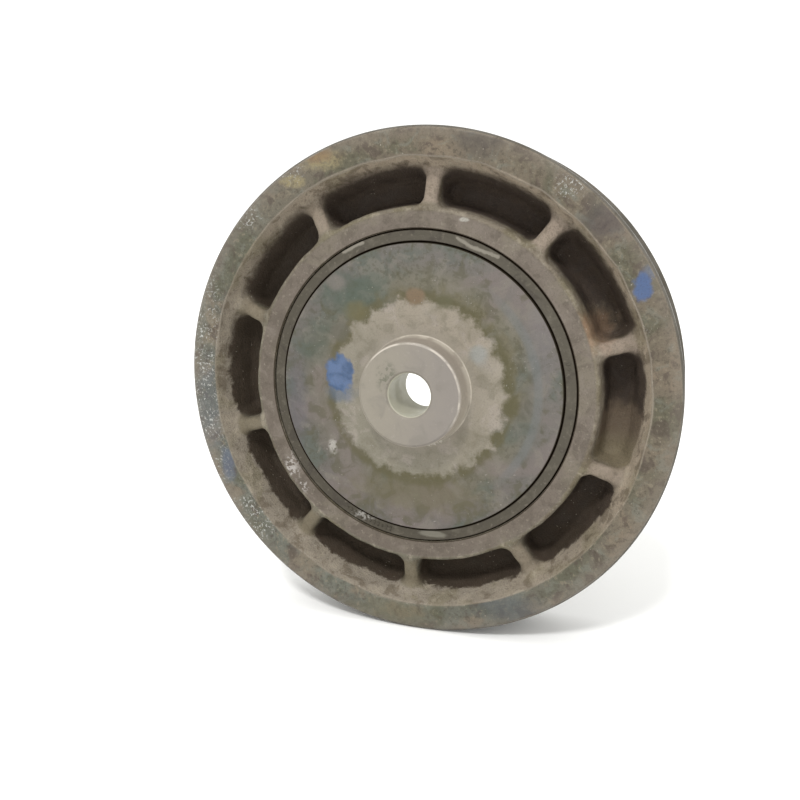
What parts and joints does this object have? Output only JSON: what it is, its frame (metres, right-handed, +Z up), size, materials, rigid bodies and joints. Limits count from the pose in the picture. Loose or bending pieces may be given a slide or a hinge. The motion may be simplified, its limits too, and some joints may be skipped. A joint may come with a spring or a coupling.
{
  "type": "crankshaft belt pulley",
  "caption": "Cast belt pulley for a crankshaft nose: multi-groove rim and ribbed ring on a rubber ring bonded round a central hub that damps twist.",
  "frame": {"origin": "centre of the bounding box, which lies on the pulley's axis", "axes": "+Y along the pulley's axis, from the engine towards the front of the vehicle's belt drive; +Z up as it stands on its rim"},
  "size_m": [0.165, 0.036, 0.165],
  "materials": {
    "machined_iron": "turned faces, dull with old oil film and chalky wear marks",
    "damper_rubber": "aged, matt, dusty",
    "cast_iron": "as cast with baked-on road dust; belt track and flanges turned"
  },
  "bodies": {
    "hub": {"hub": "machined_iron"},
    "rubber": {"damper_rubber": "damper_rubber"},
    "ring": {"pulley_ring": "cast_iron"}
  },
  "joints": [
    {"name": "ring_twist", "type": "hinge", "parent": "hub", "child": "ring", "pos_m": [0, 0, 0], "axis": [0, 1, 0], "range_deg": [-3, 3], "stiffness_Nm_per_rad": 3000},
    {"name": "rubber_shear", "type": "hinge", "parent": "hub", "child": "rubber", "pos_m": [0, 0, 0], "axis": [0, 1, 0], "range_deg": [-1.5, 1.5]}
  ],
  "couplings": [
    {"joint": "rubber_shear", "follows": "ring_twist", "ratio": 0.5}
  ]
}
